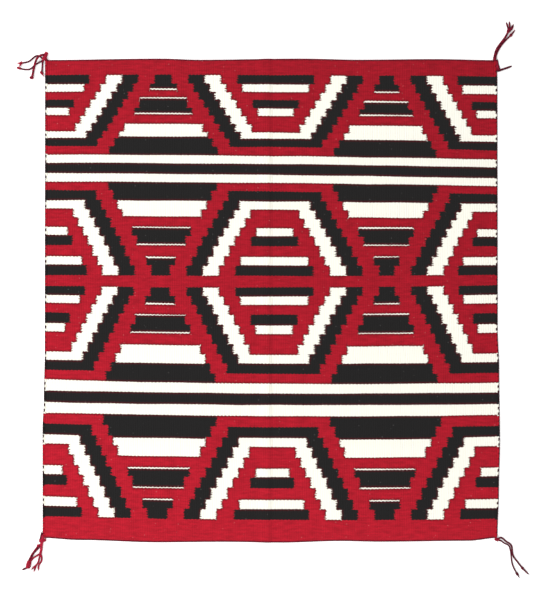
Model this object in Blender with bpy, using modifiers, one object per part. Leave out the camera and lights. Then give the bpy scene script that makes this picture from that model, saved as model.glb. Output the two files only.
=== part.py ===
"""A handwoven wool rug lying flat: the cloth, its edge cords, a loose cord end and four corner tassels.

+X runs along the weft, from the left side to the right, +Y along the warp towards the top edge, and +Z up.
The origin is on the surface that the rug lies on, at the middle of the whole outline, tassels included.
All sizes and places below are in millimetres, and all headings are in degrees from +X towards +Y.
"""

import math
from typing import NamedTuple

import bmesh
import bpy
from mathutils import Matrix, Vector

MM = 0.001
WELD_DISTANCE = 0.00001

CLOTH_THICKNESS = 3.0
EDGE_CORD_DIAMETER = 2.4
GAP = 0.35  # between neighbouring pieces
CLOTH_COLUMNS = 28
CLOTH_ROWS = 30
COLUMN_CROWDING = 1.6  # above 1, the columns stand closer together near the crease
CORD_SIDES_STEP = 1  # a cord's round has four sides and two more for each step

# The rug was stored folded once along the warp, and the fold still stands up a little, steeper on its right.
CREASE_X = -9.5
CREASE_HEIGHT = 1.8
CREASE_LEFT_REACH = 26.0
CREASE_RIGHT_REACH = 15.0

STRAND_POINT_SPACING = 6.0
STRAND_PULL = 0.36  # length of a section's two handles, as a share of the section
LIFT_RAMP = 9.0
STRAND_LEVEL_STEP = 0.04  # each strand of a tassel lies this much higher than the one before
KNOT_SEGMENTS = 8
KNOT_RINGS = 6
KNOT_HEIGHT_SHARE = 0.8  # a knot's height, as a share of its width


class Station(NamedTuple):
    """A place along an edge, and how far out the edge lies there, edge cord included."""

    along: float
    edge: float


LEFT_EDGE = (
    Station(along=-481, edge=-463.8),
    Station(along=-262, edge=-464.0),
    Station(along=-205, edge=-461.4),
    Station(along=-100, edge=-459.4),
    Station(along=485, edge=-458.8),
)
RIGHT_EDGE = (
    Station(along=-481, edge=454.0),
    Station(along=-385, edge=456.8),
    Station(along=-290, edge=459.0),
    Station(along=-140, edge=457.4),
    Station(along=-60, edge=454.4),
    Station(along=440, edge=453.8),
    Station(along=484, edge=452.6),
)
TOP_EDGE = (
    Station(along=-459, edge=484.4),
    Station(along=-227, edge=487.2),
    Station(along=-147, edge=484.8),
    Station(along=56, edge=487.2),
    Station(along=177, edge=484.9),
    Station(along=330, edge=486.2),
    Station(along=453, edge=484.0),
)
BOTTOM_EDGE = (
    Station(along=-464, edge=-481.2),
    Station(along=-385, edge=-485.6),
    Station(along=-230, edge=-490.2),
    Station(along=-100, edge=-489.2),
    Station(along=20, edge=-490.8),
    Station(along=137, edge=-487.6),
    Station(along=220, edge=-489.0),
    Station(along=395, edge=-487.2),
    Station(along=455, edge=-481.4),
)


class To(NamedTuple):
    """The end of one section of a strand, measured from the rug's corner, and the strand's heading there."""

    x: float
    y: float
    heading: float


class Strand(NamedTuple):
    """One loose cord of a tassel: its thickness, its root, and its sections up to the tip."""

    name: str
    thickness: float
    root: To
    sections: tuple
    lift: float = 0.0  # height of the raised stretch, where it passes over other strands
    lift_until: float = 0.0  # how far along the strand that stretch reaches


class Knot(NamedTuple):
    """A knot in a strand or at a tassel's root, measured from the rug's corner."""

    name: str
    x: float
    y: float
    length: float
    width: float
    heading: float


class Tassel(NamedTuple):
    side: int  # -1 at the left corners, 1 at the right ones
    end: int  # -1 at the bottom corners, 1 at the top ones
    knots: tuple
    strands: tuple


TASSELS = {
    "tassel_top_left": Tassel(
        side=-1,
        end=1,
        knots=(
            Knot("loop", x=-0.4, y=7.6, length=15.0, width=7.0, heading=64),
            Knot("root", x=-1.0, y=3.0, length=5.4, width=5.0, heading=0),
            Knot("first_end", x=-27.3, y=-35.6, length=6.6, width=5.0, heading=20),
            Knot("second_end", x=-49.2, y=-6.6, length=6.4, width=4.6, heading=40),
            Knot("third_end", x=-52.2, y=-16.9, length=5.6, width=3.8, heading=-10),
            Knot("fourth_end", x=-7.2, y=-26.0, length=6.4, width=4.8, heading=-50),
        ),
        strands=(
            Strand(
                "first",
                thickness=3.4,
                root=To(-2.0, 10.0, 180),
                sections=(To(-16.8, 1.6, 244), To(-21.6, -11.0, 252), To(-26.6, -34.0, 258)),
                lift=3.6,
                lift_until=36.0,
            ),
            Strand(
                "first_stub",
                thickness=2.0,
                root=To(-27.0, -35.8, 160),
                sections=(To(-31.6, -34.6, 160),),
            ),
            Strand(
                "second",
                thickness=2.0,
                root=To(-3.6, 0.6, 145),
                sections=(To(-15.6, 8.8, 180), To(-31.0, -1.4, 214), To(-48.0, -6.2, 190)),
            ),
            Strand(
                "second_upper_stub",
                thickness=1.8,
                root=To(-48.6, -6.2, 176),
                sections=(To(-54.6, -6.8, 190),),
            ),
            Strand(
                "second_lower_stub",
                thickness=1.8,
                root=To(-48.6, -7.0, 240),
                sections=(To(-51.6, -11.4, 236),),
            ),
            Strand(
                "third",
                thickness=2.0,
                root=To(-3.2, 1.0, 222),
                sections=(To(-20.2, -9.6, 216), To(-34.5, -19.2, 184), To(-57.4, -15.4, 164)),
            ),
            Strand(
                "fourth",
                thickness=2.4,
                root=To(-2.6, 2.2, 236),
                sections=(To(-6.2, -12.0, 268), To(-7.2, -25.0, 264)),
            ),
            Strand("fourth_stub", thickness=2.0, root=To(-7.2, -26.0, 290), sections=(To(-4.6, -31.2, 300),)),
        ),
    ),
    "tassel_top_right": Tassel(
        side=1,
        end=1,
        knots=(
            Knot("root", x=-3.2, y=4.2, length=7.6, width=6.2, heading=80),
            Knot("fork", x=24.0, y=58.4, length=6.4, width=4.4, heading=70),
            Knot("right_end", x=28.9, y=50.3, length=6.0, width=4.4, heading=44),
        ),
        strands=(
            Strand(
                "left_cord",
                thickness=3.2,
                root=To(-4.2, 5.0, 82),
                sections=(To(1.2, 23.2, 62), To(15.0, 42.0, 54), To(23.8, 57.6, 66)),
            ),
            Strand(
                "first_tip",
                thickness=2.0,
                root=To(23.6, 57.4, 88),
                sections=(To(23.4, 65.4, 106), To(20.2, 74.8, 112)),
            ),
            Strand(
                "second_tip",
                thickness=2.0,
                root=To(24.2, 57.4, 72),
                sections=(To(27.2, 66.4, 88), To(26.0, 76.0, 98)),
            ),
            Strand(
                "third_tip",
                thickness=2.2,
                root=To(24.6, 57.2, 50),
                sections=(To(30.4, 63.2, 54), To(33.4, 70.4, 68)),
            ),
            Strand(
                "right_cord",
                thickness=2.4,
                root=To(-1.8, 4.6, 78),
                sections=(To(5.0, 22.2, 60), To(18.0, 39.6, 48), To(27.6, 48.8, 44), To(36.2, 59.0, 52)),
            ),
        ),
    ),
    "loose_cord_right": Tassel(
        side=1,
        end=1,
        knots=(),
        strands=(
            Strand(
                "bow",
                thickness=1.6,
                root=To(1.4, 1.2, -52),
                sections=(To(3.4, -6.6, -76), To(7.6, -19.2, -66)),
            ),
            Strand(
                "stub",
                thickness=2.2,
                root=To(2.4, -21.8, 14),
                sections=(To(16.0, -17.4, 18), To(29.6, -12.4, 22)),
            ),
        ),
    ),
    "tassel_bottom_left": Tassel(
        side=-1,
        end=-1,
        knots=(
            Knot("root", x=-0.6, y=-4.7, length=12.0, width=6.4, heading=8),
            Knot("side", x=-9.8, y=-15.4, length=5.4, width=4.4, heading=60),
            Knot("left_end", x=-28.7, y=-53.4, length=13.0, width=8.6, heading=76),
            Knot("right_fork", x=-5.2, y=-31.8, length=6.4, width=5.0, heading=76),
        ),
        strands=(
            Strand("edge_wrap", thickness=2.4, root=To(-1.9, 10.4, 250), sections=(To(-5.4, -4.2, 254),)),
            Strand("neck", thickness=5.0, root=To(-1.0, -4.8, 258), sections=(To(-3.6, -15.4, 256),)),
            Strand(
                "left_cord",
                thickness=1.8,
                root=To(-5.2, -13.6, 206),
                sections=(To(-16.0, -24.6, 230), To(-29.2, -48.0, 248)),
            ),
            Strand(
                "inner_cord",
                thickness=1.8,
                root=To(-5.0, -15.8, 236),
                sections=(To(-15.1, -27.4, 228), To(-20.4, -34.4, 242), To(-25.6, -48.0, 252)),
            ),
            Strand("left_tip", thickness=2.2, root=To(-25.2, -57.4, 204), sections=(To(-41.0, -64.2, 202),)),
            Strand("right_cord", thickness=3.4, root=To(-2.6, -13.6, 270), sections=(To(-5.0, -31.6, 256),)),
            Strand(
                "cross_branch",
                thickness=1.8,
                root=To(-5.4, -31.8, 206),
                sections=(To(-16.0, -38.4, 210), To(-27.2, -50.2, 232)),
            ),
            Strand(
                "middle_branch",
                thickness=1.8,
                root=To(-5.4, -32.2, 260),
                sections=(To(-8.6, -46.4, 258), To(-13.8, -55.4, 228), To(-21.4, -62.6, 236)),
            ),
            Strand(
                "middle_tip",
                thickness=1.6,
                root=To(-13.2, -54.8, 244),
                sections=(To(-17.6, -66.6, 250),),
            ),
            Strand(
                "right_branch",
                thickness=1.8,
                root=To(-5.0, -32.0, 294),
                sections=(To(-2.4, -44.8, 266), To(-8.0, -54.6, 248), To(-9.2, -64.2, 270)),
            ),
        ),
    ),
    "tassel_bottom_right": Tassel(
        side=1,
        end=-1,
        knots=(
            Knot("root", x=0.2, y=-4.0, length=7.2, width=6.2, heading=-20),
            Knot("outer_end", x=51.2, y=-61.0, length=6.4, width=4.8, heading=-50),
            Knot("inner_end", x=40.2, y=-72.6, length=6.4, width=4.8, heading=-62),
        ),
        strands=(
            Strand(
                "outer",
                thickness=2.4,
                root=To(1.6, -3.0, 48),
                sections=(
                    To(8.0, 0.8, 344),
                    To(18.0, -7.0, 324),
                    To(29.0, -16.0, 290),
                    To(30.8, -30.6, 278),
                    To(42.8, -50.6, 306),
                    To(62.6, -72.7, 315),
                ),
            ),
            Strand(
                "inner",
                thickness=2.0,
                root=To(2.0, -4.4, 350),
                sections=(
                    To(9.8, -7.0, 320),
                    To(15.6, -11.2, 336),
                    To(22.0, -14.0, 326),
                    To(26.6, -24.0, 284),
                    To(29.0, -44.0, 276),
                    To(43.7, -78.2, 302),
                ),
            ),
        ),
    ),
}


class Finish(NamedTuple):
    """A material's colour and roughness."""

    color: tuple
    roughness: float


RED_WOOL = Finish(color=(0.45, 0.013, 0.028, 1.0), roughness=0.92)
DARK_CORD_WOOL = Finish(color=(0.10, 0.008, 0.014, 1.0), roughness=0.92)
TASSEL_WOOL = Finish(color=(0.28, 0.010, 0.020, 1.0), roughness=0.92)


def remove_everything():
    for old in list(bpy.data.objects):
        bpy.data.objects.remove(old, do_unlink=True)


def new_collection(name):
    collection = bpy.data.collections.new(name)
    bpy.context.scene.collection.children.link(collection)
    return collection


def new_material(name, finish):
    material = bpy.data.materials.new(name)
    material.use_nodes = True
    shader = material.node_tree.nodes["Principled BSDF"]
    shader.inputs["Base Color"].default_value = finish.color
    shader.inputs["Roughness"].default_value = finish.roughness
    shader.inputs["Metallic"].default_value = 0.0
    return material


def edge_at(stations, along):
    """How far out an edge lies at one place, eased from station to station."""
    if along <= stations[0].along:
        return stations[0].edge
    for before, after in zip(stations, stations[1:]):
        if along <= after.along:
            share = (along - before.along) / (after.along - before.along)
            eased = share * share * (3 - 2 * share)
            return before.edge + (after.edge - before.edge) * eased
    return stations[-1].edge


def outline_point(across, up, inset):
    """The point at -1..1 across and -1..1 up the rug, in an outline moved in from the edges by inset."""
    rough_x = LEFT_EDGE[-1].edge + (RIGHT_EDGE[-1].edge - LEFT_EDGE[-1].edge) * (across + 1) / 2
    low = edge_at(BOTTOM_EDGE, rough_x) + inset
    high = edge_at(TOP_EDGE, rough_x) - inset
    y = low + (high - low) * (up + 1) / 2
    left = edge_at(LEFT_EDGE, y) + inset
    right = edge_at(RIGHT_EDGE, y) - inset
    return left + (right - left) * (across + 1) / 2, y


def column_across(step):
    """Where a column of the cloth stands, -1..1 across, with the columns closer together near the crease."""
    even = 2 * step / CLOTH_COLUMNS - 1
    return math.copysign(abs(even) ** COLUMN_CROWDING, even)


def crease_height(x):
    """How far the cloth's underside stands off the floor at x."""
    reach = CREASE_LEFT_REACH if x < CREASE_X else CREASE_RIGHT_REACH
    away = min(abs(x - CREASE_X) / reach, 1.0)
    return CREASE_HEIGHT * (1 + math.cos(math.pi * away)) / 2


def make_cloth(collection):
    """The woven panel: a grid laid out by the outline, raised along the crease, thickened upwards."""
    bpy.ops.mesh.primitive_grid_add(x_subdivisions=CLOTH_COLUMNS, y_subdivisions=CLOTH_ROWS, size=2)
    cloth = bpy.context.object
    cloth.name = cloth.data.name = "cloth"
    inset = EDGE_CORD_DIAMETER + GAP
    for vertex in cloth.data.vertices:
        step = round((vertex.co.x + 1) / 2 * CLOTH_COLUMNS)
        x, y = outline_point(column_across(step), vertex.co.y, inset)
        vertex.co = Vector((x, y, crease_height(x))) * MM
    thicken = cloth.modifiers.new("thickness", "SOLIDIFY")
    thicken.thickness = CLOTH_THICKNESS * MM
    thicken.offset = 1
    place_in(collection, cloth)
    cloth.data.materials.append(new_material("red_wool_weave", RED_WOOL))
    return cloth


def place_in(collection, thing):
    for old in list(thing.users_collection):
        old.objects.unlink(thing)
    collection.objects.link(thing)


def cord_object(name, points, diameter, sides_step, tilt=0.0):
    """A cord along the points, with closed ends."""
    curve = bpy.data.curves.new(name, "CURVE")
    curve.dimensions = "3D"
    curve.twist_mode = "Z_UP"
    curve.bevel_depth = diameter / 2 * MM
    curve.bevel_resolution = sides_step
    curve.use_fill_caps = True
    spline = curve.splines.new("POLY")
    spline.points.add(len(points) - 1)
    for place, point in zip(spline.points, points):
        place.co = (*(Vector(point) * MM), 1.0)
        place.tilt = tilt
    return bpy.data.objects.new(name, curve)


def make_side_cord(collection, name, side):
    """A selvage cord beside the cloth, between the two end cords."""
    radius = EDGE_CORD_DIAMETER / 2
    points = []
    for row in range(CLOTH_ROWS + 1):
        x, y = outline_point(side, 2 * row / CLOTH_ROWS - 1, EDGE_CORD_DIAMETER + GAP)
        x, _ = outline_point(side, 2 * row / CLOTH_ROWS - 1, radius)
        points.append((x, y, CLOTH_THICKNESS / 2))
    cord = cord_object(name, points, EDGE_CORD_DIAMETER, CORD_SIDES_STEP)
    collection.objects.link(cord)
    cord.data.materials.append(new_material(f"{name}_wool", DARK_CORD_WOOL))


def make_end_cord(collection, name, end):
    """A cord along one warp end, from corner to corner, over the crease."""
    radius = EDGE_CORD_DIAMETER / 2
    points = []
    for step in range(CLOTH_COLUMNS + 1):
        across = column_across(step)
        x, _ = outline_point(across, end, EDGE_CORD_DIAMETER + GAP)
        if step in (0, CLOTH_COLUMNS):
            x, _ = outline_point(across, end, 0)
        _, y = outline_point(across, end, radius)
        points.append((x, y, CLOTH_THICKNESS / 2 + crease_height(x)))
    cord = cord_object(name, points, EDGE_CORD_DIAMETER, CORD_SIDES_STEP)
    collection.objects.link(cord)
    cord.data.materials.append(new_material(f"{name}_wool", DARK_CORD_WOOL))


def section_points(start, end):
    """Points along one section, which leaves and arrives at the given headings."""
    first = Vector((start.x, start.y))
    last = Vector((end.x, end.y))
    pull = (last - first).length * STRAND_PULL
    leave = Vector((math.cos(math.radians(start.heading)), math.sin(math.radians(start.heading))))
    arrive = Vector((math.cos(math.radians(end.heading)), math.sin(math.radians(end.heading))))
    second = first + leave * pull
    third = last - arrive * pull
    count = max(2, round((last - first).length / STRAND_POINT_SPACING))
    points = []
    for step in range(count + 1):
        t = step / count
        s = 1 - t
        points.append(first * s**3 + second * (3 * s * s * t) + third * (3 * s * t * t) + last * t**3)
    return points


def strand_route(strand, corner, level):
    """A strand's middle line, resting on the floor except where it is lifted over others."""
    flat = [Vector((strand.root.x, strand.root.y))]
    start = strand.root
    for end in strand.sections:
        flat.extend(section_points(start, end)[1:])
        start = end
    route = []
    travelled = 0.0
    before = flat[0]
    for point in flat:
        travelled += (point - before).length
        before = point
        left = min(max((strand.lift_until - travelled) / LIFT_RAMP, 0.0), 1.0)
        height = level + strand.thickness / 2 + strand.lift * left * left * (3 - 2 * left)
        route.append((corner[0] + point.x, corner[1] + point.y, height))
    return route


def mesh_piece(name, source):
    """A closed mesh object made from a curve object, which is then removed."""
    mesh = bpy.data.meshes.new_from_object(source.evaluated_get(bpy.context.evaluated_depsgraph_get()))
    piece = bpy.data.objects.new(name, mesh)
    piece.matrix_world = source.matrix_world
    bpy.data.objects.remove(source, do_unlink=True)
    work = bmesh.new()
    work.from_mesh(mesh)
    bmesh.ops.remove_doubles(work, verts=work.verts, dist=WELD_DISTANCE)
    bmesh.ops.recalc_face_normals(work, faces=work.faces)
    work.to_mesh(mesh)
    work.free()
    return piece


def make_strand(collection, strand, corner, level):
    """A loose cord of square section, lying on one of its faces."""
    across_corners = strand.thickness * math.sqrt(2)
    route = strand_route(strand, corner, level)
    source = cord_object(strand.name, route, across_corners, 0, math.radians(45))
    collection.objects.link(source)
    bpy.context.view_layer.update()
    piece = mesh_piece(strand.name, source)
    collection.objects.link(piece)
    return piece


def make_knot(collection, knot, corner):
    """A knot: a flattened ball that rests on the floor, longer one way than the other."""
    mesh = bpy.data.meshes.new(knot.name)
    work = bmesh.new()
    bmesh.ops.create_uvsphere(work, u_segments=KNOT_SEGMENTS, v_segments=KNOT_RINGS, radius=0.5)
    height = knot.width * KNOT_HEIGHT_SHARE
    shape = Matrix.Diagonal((knot.length, knot.width, height, 1.0))
    turn = Matrix.Rotation(math.radians(knot.heading), 4, "Z")
    place = Matrix.Translation((corner[0] + knot.x, corner[1] + knot.y, height / 2))
    bmesh.ops.transform(work, matrix=Matrix.Scale(MM, 4) @ place @ turn @ shape, verts=work.verts)
    work.to_mesh(mesh)
    work.free()
    piece = bpy.data.objects.new(knot.name, mesh)
    collection.objects.link(piece)
    return piece


def join_pieces(name, pieces):
    """One closed solid from pieces that run into each other."""
    base = pieces[0]
    for other in pieces[1:]:
        other.display_type = "WIRE"
        other.hide_render = True
        join = base.modifiers.new(f"join_{other.name}", "BOOLEAN")
        join.operation = "UNION"
        join.solver = "EXACT"
        join.object = other
    bpy.context.view_layer.update()
    mesh = bpy.data.meshes.new_from_object(base.evaluated_get(bpy.context.evaluated_depsgraph_get()))
    mesh.name = name
    for piece in pieces:
        bpy.data.objects.remove(piece, do_unlink=True)
    return bpy.data.objects.new(name, mesh)


def make_tassel(collection, joints, name, tassel):
    """The loose cords of one corner, with their knots, lying on the floor beyond the corner."""
    corner = outline_point(tassel.side, tassel.end, 0)
    pieces = [make_knot(joints, knot, corner) for knot in tassel.knots]
    for order, strand in enumerate(tassel.strands):
        pieces.append(make_strand(joints, strand, corner, order * STRAND_LEVEL_STEP))
    whole = join_pieces(name, pieces)
    collection.objects.link(whole)
    whole.data.materials.clear()
    whole.data.materials.append(new_material(f"{name}_wool", TASSEL_WOOL))


def main():
    remove_everything()
    rug = new_collection("handwoven_rug")
    joints = new_collection("tassel_pieces")
    make_cloth(rug)
    make_side_cord(rug, "side_cord_left", -1)
    make_side_cord(rug, "side_cord_right", 1)
    make_end_cord(rug, "end_cord_top", 1)
    make_end_cord(rug, "end_cord_bottom", -1)
    for name, tassel in TASSELS.items():
        make_tassel(rug, joints, name, tassel)


main()
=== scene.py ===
"""A handwoven wool rug: tapestry cloth, cords along its four edges, and cord tassels at its corners.

+X runs along the weft, +Y along the warp towards the top edge, and +Z up from the floor.
The tables are in millimetres, with headings in degrees from +X towards +Y. The settings are in metres.
"""

import math
from functools import partial
from typing import NamedTuple

import bpy
import numpy as np
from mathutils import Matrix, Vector


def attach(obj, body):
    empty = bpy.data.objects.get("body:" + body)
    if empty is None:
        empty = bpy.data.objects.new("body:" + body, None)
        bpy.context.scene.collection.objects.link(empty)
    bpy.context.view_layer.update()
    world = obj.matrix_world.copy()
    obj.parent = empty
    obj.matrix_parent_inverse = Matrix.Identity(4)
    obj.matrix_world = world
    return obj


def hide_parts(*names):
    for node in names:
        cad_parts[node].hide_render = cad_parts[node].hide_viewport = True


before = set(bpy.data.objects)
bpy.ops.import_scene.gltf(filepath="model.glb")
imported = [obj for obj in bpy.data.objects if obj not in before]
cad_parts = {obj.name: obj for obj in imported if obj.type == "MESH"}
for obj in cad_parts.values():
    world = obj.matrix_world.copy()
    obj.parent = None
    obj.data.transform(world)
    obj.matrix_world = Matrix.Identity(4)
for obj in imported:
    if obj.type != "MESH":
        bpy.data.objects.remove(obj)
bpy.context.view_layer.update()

bl_info = {
    "name": "Handwoven rug",
    "version": (1, 0, 0),
    "blender": (4, 5, 0),
    "location": "3D View > Sidebar > Rug",
    "description": "Weaves a terraced tapestry rug with corded edges and corner tassels",
    "category": "Object",
}

BODY = "root"
MM = 0.001
FAR = 99.0  # millimetres, for a join that a strip doesn't have


# The outline, edge cord included, and the fold that still stands up a little along the warp.


class Station(NamedTuple):
    """A place along an edge, and how far out the edge lies there."""

    along: float
    edge: float


LEFT_EDGE = (
    Station(-481, -463.8),
    Station(-262, -464.0),
    Station(-205, -461.4),
    Station(-100, -459.4),
    Station(485, -458.8),
)
RIGHT_EDGE = (
    Station(-481, 454.0),
    Station(-385, 456.8),
    Station(-290, 459.0),
    Station(-140, 457.4),
    Station(-60, 454.4),
    Station(440, 453.8),
    Station(484, 452.6),
)
TOP_EDGE = (
    Station(-459, 484.4),
    Station(-227, 487.2),
    Station(-147, 484.8),
    Station(56, 487.2),
    Station(177, 484.9),
    Station(330, 486.2),
    Station(453, 484.0),
)
BOTTOM_EDGE = (
    Station(-464, -481.2),
    Station(-385, -485.6),
    Station(-230, -490.2),
    Station(-100, -489.2),
    Station(20, -490.8),
    Station(137, -487.6),
    Station(220, -489.0),
    Station(395, -487.2),
    Station(455, -481.4),
)
CLOTH_THICKNESS = 3.0
EDGE_CORD_DIAMETER = 2.4
GAP = 0.35
TUCK = 0.6  # how far the cloth reaches in under its edge cords
CREASE_X = -9.5
CREASE_HEIGHT = 2.2
CREASE_LEFT_REACH = 26.0
CREASE_RIGHT_REACH = 12.0


# The woven design: bands of terraced hexagons between plain stripes.


class Level(NamedTuple):
    """How high one weft line lies at the left side, the middle and the right side."""

    left: float
    middle: float
    right: float


class Flank(NamedTuple):
    """One stepped side of a hexagon: how far out it lies in the first row and in the last."""

    start: int
    end: int
    heart: int = 0  # how much further than the belts its heart's bars reach


class LineShift(NamedTuple):
    """How much higher the weft line between two rows lies in the left and the right field."""

    rows: tuple
    left: int = 0
    right: int = 0


class Band(NamedTuple):
    """A band across the rug, from the one above it down to its lower line, with its rows' heights."""

    name: str
    lower: Level
    heights: tuple
    yarn: str = ""  # of a plain band: R red, K black, W white
    top_row: int = 0  # of a terraced band: the number of the row at its top, and the way that they count
    count: int = 1
    flanks: tuple = ()
    shifts: tuple = ()


class TerraceRow(NamedTuple):
    """The yarns of a row of hexagons from their hearts outwards, row 0 next to the stripes."""

    heart: str
    inner_belt: str
    white_belt: str
    black_belt: str
    outer_belt: str
    field: str
    line_towards: int = -1  # the row that the thin white line across the field faces


TERRACE_ROWS = (
    TerraceRow("R", "R", "R", "R", "R", "K"),
    TerraceRow("K", "K", "K", "K", "R", "K"),
    TerraceRow("W", "W", "W", "K", "R", "W"),
    TerraceRow("R", "R", "W", "K", "R", "W"),
    TerraceRow("R", "R", "W", "K", "R", "R"),
    TerraceRow("W", "R", "W", "K", "R", "K", line_towards=4),
    TerraceRow("K", "R", "W", "K", "R", "K", line_towards=7),
    TerraceRow("R", "R", "W", "K", "R", "R"),
    TerraceRow("W", "R", "W", "K", "R", "K", line_towards=7),
    TerraceRow("K", "R", "W", "K", "R", "K"),
)
HEXAGON_CENTRES = (-454, 4, 454)
BELT_WIDTH = 33.0
FIRST_BELT = -15.0  # where the inner belt starts, from its flank's start
JOINS = FIRST_BELT + BELT_WIDTH * np.arange(5)
WHITE_LINE = 4.2
EVEN_FLANK = Flank(start=0, end=95)
BANDS = (
    Band("top_border", Level(454, 454, 451), (2.5, 27.5), "R"),
    Band(
        "top_terrace",
        Level(294, 291, 284),
        (18, 17, 15, 17, 16, 16, 16, 14, 16, 17),
        top_row=9,
        count=-1,
        flanks=(Flank(7, 99), Flank(-3, 90), Flank(3, 95), Flank(6, 91, heart=4)),
        shifts=(
            LineShift(rows=(8, 7), left=4),
            LineShift(rows=(7, 6), left=5),
            LineShift(rows=(5, 4), left=2, right=2),
            LineShift(rows=(2, 1), left=3),
        ),
    ),
    Band("upper_stripe_1", Level(276, 273, 267), (1,), "W"),
    Band("upper_stripe_2", Level(257, 253, 246), (1,), "K"),
    Band("upper_stripe_3", Level(238, 235, 229), (1,), "W"),
    Band(
        "upper_terrace",
        Level(50, 48, 50),
        (16, 19, 18, 17, 18, 17, 19, 21, 18, 20),
        flanks=(Flank(5, 92, heart=2), Flank(-1, 94), Flank(1, 94), Flank(3, 90, heart=4)),
        shifts=(
            LineShift(rows=(3, 4), left=3, right=3),
            LineShift(rows=(4, 5), left=2, right=3),
            LineShift(rows=(7, 8), right=2),
        ),
    ),
    Band("middle_strip", Level(28, 25, 29), (1,), "R"),
    Band(
        "lower_terrace",
        Level(-160, -169, -167),
        (18, 18, 19, 21, 19, 20, 20, 19, 20, 19),
        top_row=9,
        count=-1,
        flanks=(Flank(0, 90), Flank(2, 94), Flank(-2, 94), Flank(3, 90, heart=3)),
        shifts=(
            LineShift(rows=(7, 6), right=2),
            LineShift(rows=(4, 3), left=-2, right=-3),
            LineShift(rows=(2, 1), left=-2),
        ),
    ),
    Band("lower_stripe_1", Level(-184, -190, -188), (1,), "W"),
    Band("lower_stripe_2", Level(-206, -212, -210), (1,), "K"),
    Band("lower_stripe_3", Level(-229, -236, -234), (1,), "W"),
    Band(
        "bottom_terrace",
        Level(-438, -445, -443),
        (21, 21, 20, 21, 21, 19, 21, 23, 20, 21),
        flanks=(Flank(-5, 84), Flank(0, 99, heart=-2), Flank(-5, 85), Flank(-4, 90)),
        shifts=(LineShift(rows=(1, 2), left=-3, right=-3), LineShift(rows=(6, 7), left=-3, right=-2)),
    ),
    Band("bottom_border", None, (40, 2.5), "R"),
)
LEVEL_STATIONS = (-449, 3, 440)  # where the left, middle and right heights are taken


# The loose cords at the corners, each place measured from the rug's own corner.


class To(NamedTuple):
    """A place on a strand's way, and the strand's heading there."""

    x: float
    y: float
    heading: float


class Strand(NamedTuple):
    """One loose cord of a tassel: its thickness, its tone, and its way from its root to its tip."""

    name: str
    thickness: float
    tone: float  # 0 bright red wool, 1 dark brown wool
    way: tuple
    lift: float = 0.0  # height of the raised stretch, where it passes over other strands
    lift_until: float = 0.0  # how far along the strand that stretch reaches


class Knot(NamedTuple):
    name: str
    x: float
    y: float
    length: float
    width: float
    heading: float
    tone: float = 0.5


class Tassel(NamedTuple):
    side: int  # -1 at the left corners, 1 at the right ones
    end: int  # -1 at the bottom corners, 1 at the top ones
    knots: tuple
    strands: tuple
    material_slot: str = "tassel_wool"


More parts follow.
